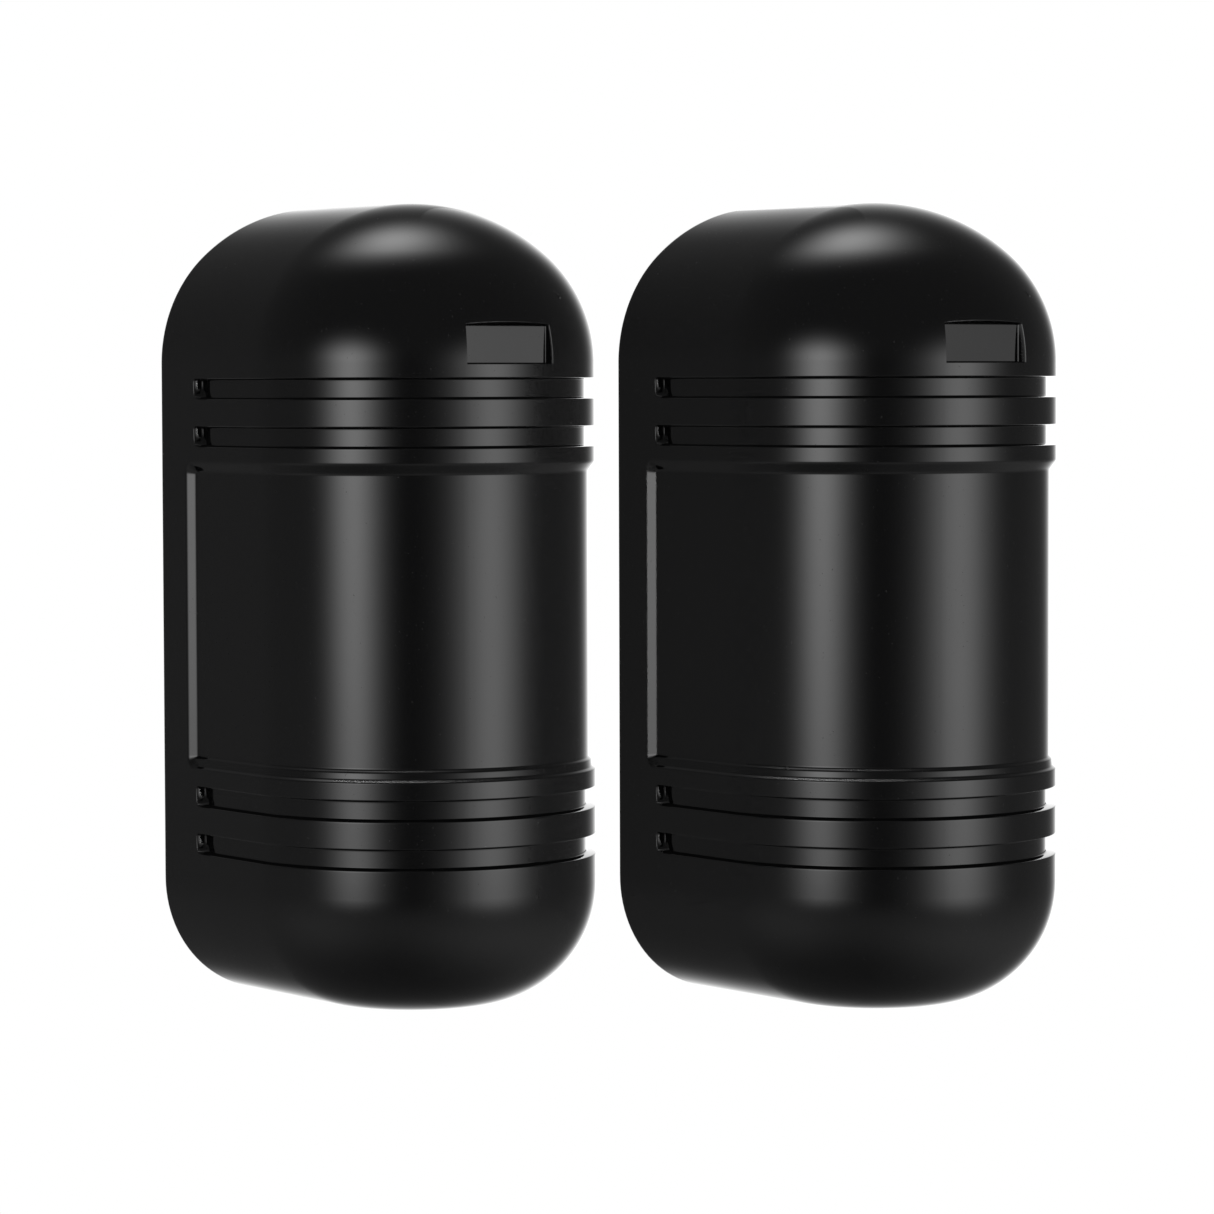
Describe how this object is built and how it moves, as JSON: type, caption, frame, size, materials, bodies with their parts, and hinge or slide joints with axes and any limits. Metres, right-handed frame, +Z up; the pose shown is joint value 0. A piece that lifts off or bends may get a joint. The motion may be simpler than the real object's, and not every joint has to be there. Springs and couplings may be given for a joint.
{
  "type": "dual-beam photoelectric detector pair",
  "caption": "Transmitter and receiver of a dual-beam photoelectric detector: gloss black round-fronted covers over wall bases with panning and tilting lens modules.",
  "frame": {"origin": "middle of the transmitter's back face, on the wall plane and at half height", "axes": "+Y into the wall, -Y the way the covers face, +Z up, +X from the transmitter to the receiver"},
  "size_m": [0.1585, 0.137, 0.171],
  "materials": {
    "cover_gloss": "gloss black infrared-passing moulding",
    "seal_rubber": "matt black elastomer",
    "zinc_steel": "zinc plated",
    "base_plastic": "fine textured dark grey",
    "yoke_plastic": "light grey moulding",
    "housing_plastic": "matt black moulding",
    "lens_clear": "polished clear",
    "sight_mirror": "polished",
    "white_nylon": "satin natural white",
    "board_green": "solder mask",
    "diode_clear": "clear epoxy",
    "diode_red": "red epoxy",
    "switch_blue": "blue moulding",
    "terminal_grey": "grey moulding",
    "chip_black": "black epoxy moulding"
  },
  "bodies": {
    "bases": {"transmitter_base": "base_plastic", "transmitter_wall_plate": "zinc_steel", "transmitter_plate_screws": "zinc_steel", "transmitter_cable_grommet": "seal_rubber", "transmitter_cover_seal": "seal_rubber", "transmitter_main_board": "board_green", "transmitter_board_screws": "zinc_steel", "transmitter_terminal_block": "terminal_grey", "transmitter_terminal_screws": "zinc_steel", "transmitter_tamper_switch": "chip_black", "transmitter_channel_switch": "switch_blue", "transmitter_indicator_leds": "diode_red", "transmitter_board_chips": "chip_black", "receiver_base": "base_plastic", "receiver_wall_plate": "zinc_steel", "receiver_plate_screws": "zinc_steel", "receiver_cable_grommet": "seal_rubber", "receiver_cover_seal": "seal_rubber", "receiver_main_board": "board_green", "receiver_board_screws": "zinc_steel", "receiver_terminal_block": "terminal_grey", "receiver_terminal_screws": "zinc_steel", "receiver_tamper_switch": "chip_black", "receiver_channel_switch": "switch_blue", "receiver_indicator_leds": "diode_red", "receiver_board_chips": "chip_black", "receiver_response_pot": "switch_blue"},
    "transmitter_cover_shell": {"transmitter_cover": "cover_gloss", "transmitter_cover_screw": "zinc_steel"},
    "transmitter_pan_yoke": {"transmitter_yoke": "yoke_plastic"},
    "transmitter_optics": {"transmitter_lens_housing": "housing_plastic", "transmitter_upper_lens": "lens_clear", "transmitter_lower_lens": "lens_clear", "transmitter_lens_rings": "housing_plastic", "transmitter_sight_block": "housing_plastic", "transmitter_sight_mirrors": "sight_mirror", "transmitter_tilt_pins": "zinc_steel", "transmitter_beam_board": "board_green", "transmitter_beam_diodes": "diode_clear"},
    "transmitter_adjuster_wheel": {"transmitter_tilt_wheel": "white_nylon"},
    "transmitter_adjuster_rod": {"transmitter_tilt_rod": "zinc_steel"},
    "transmitter_plunger": {"transmitter_tamper_plunger": "white_nylon"},
    "transmitter_selector": {"transmitter_channel_slider": "white_nylon"},
    "receiver_cover_shell": {"receiver_cover": "cover_gloss", "receiver_cover_screw": "zinc_steel"},
    "receiver_pan_yoke": {"receiver_yoke": "yoke_plastic"},
    "receiver_optics": {"receiver_lens_housing": "housing_plastic", "receiver_upper_lens": "lens_clear", "receiver_lower_lens": "lens_clear", "receiver_lens_rings": "housing_plastic", "receiver_sight_block": "housing_plastic", "receiver_sight_mirrors": "sight_mirror", "receiver_tilt_pins": "zinc_steel", "receiver_beam_board": "board_green", "receiver_beam_diodes": "diode_clear"},
    "receiver_adjuster_wheel": {"receiver_tilt_wheel": "white_nylon"},
    "receiver_adjuster_rod": {"receiver_tilt_rod": "zinc_steel"},
    "receiver_plunger": {"receiver_tamper_plunger": "white_nylon"},
    "receiver_selector": {"receiver_channel_slider": "white_nylon"},
    "receiver_rotor": {"receiver_response_rotor": "white_nylon"}
  },
  "joints": [
    {"name": "transmitter_cover_slide", "type": "slide", "parent": "bases", "child": "transmitter_cover_shell", "axis": [0, -1, 0], "range_m": [0, 0.1]},
    {"name": "transmitter_pan", "type": "hinge", "parent": "bases", "child": "transmitter_pan_yoke", "pos_m": [0, -0.041, 0], "axis": [0, 0, 1], "range_deg": [-90, 90]},
    {"name": "transmitter_tilt", "type": "hinge", "parent": "transmitter_pan_yoke", "child": "transmitter_optics", "pos_m": [0, -0.041, 0], "axis": [1, 0, 0], "range_deg": [-10, 10]},
    {"name": "transmitter_wheel_turn", "type": "hinge", "parent": "transmitter_pan_yoke", "child": "transmitter_adjuster_wheel", "pos_m": [0, -0.056, -0.051], "axis": [0, 0, 1], "range_deg": [-1180, 1180]},
    {"name": "transmitter_rod_slide", "type": "slide", "parent": "transmitter_pan_yoke", "child": "transmitter_adjuster_rod", "axis": [0, 0, 1], "range_m": [-0.00265, 0.00265]},
    {"name": "transmitter_tamper_travel", "type": "slide", "parent": "bases", "child": "transmitter_plunger", "axis": [0, -1, 0], "range_m": [0, 0.0015]},
    {"name": "transmitter_channel_select", "type": "slide", "parent": "bases", "child": "transmitter_selector", "axis": [1, 0, 0], "range_m": [-0.0015, 0.003]},
    {"name": "receiver_cover_slide", "type": "slide", "parent": "bases", "child": "receiver_cover_shell", "axis": [0, -1, 0], "range_m": [0, 0.1]},
    {"name": "receiver_pan", "type": "hinge", "parent": "bases", "child": "receiver_pan_yoke", "pos_m": [0.0805, -0.098, 0], "axis": [0, 0, 1], "range_deg": [-90, 90]},
    {"name": "receiver_tilt", "type": "hinge", "parent": "receiver_pan_yoke", "child": "receiver_optics", "pos_m": [0.0805, -0.098, 0], "axis": [1, 0, 0], "range_deg": [-10, 10]},
    {"name": "receiver_wheel_turn", "type": "hinge", "parent": "receiver_pan_yoke", "child": "receiver_adjuster_wheel", "pos_m": [0.0805, -0.113, -0.051], "axis": [0, 0, 1], "range_deg": [-1180, 1180]},
    {"name": "receiver_rod_slide", "type": "slide", "parent": "receiver_pan_yoke", "child": "receiver_adjuster_rod", "axis": [0, 0, 1], "range_m": [-0.00265, 0.00265]},
    {"name": "receiver_tamper_travel", "type": "slide", "parent": "bases", "child": "receiver_plunger", "axis": [0, -1, 0], "range_m": [0, 0.0015]},
    {"name": "receiver_channel_select", "type": "slide", "parent": "bases", "child": "receiver_selector", "axis": [1, 0, 0], "range_m": [-0.0015, 0.003]},
    {"name": "receiver_response_turn", "type": "hinge", "parent": "bases", "child": "receiver_rotor", "pos_m": [0.0605, -0.074, 0.06], "axis": [0, -1, 0], "range_deg": [-135, 135]}
  ],
  "couplings": [
    {"joint": "transmitter_wheel_turn", "follows": "transmitter_tilt", "ratio": 117.81},
    {"joint": "transmitter_rod_slide", "follows": "transmitter_tilt", "m_per_rad": -0.015},
    {"joint": "transmitter_tamper_travel", "follows": "transmitter_cover_slide", "ratio": 0.015},
    {"joint": "receiver_wheel_turn", "follows": "receiver_tilt", "ratio": 117.81},
    {"joint": "receiver_rod_slide", "follows": "receiver_tilt", "m_per_rad": -0.015},
    {"joint": "receiver_tamper_travel", "follows": "receiver_cover_slide", "ratio": 0.015}
  ]
}
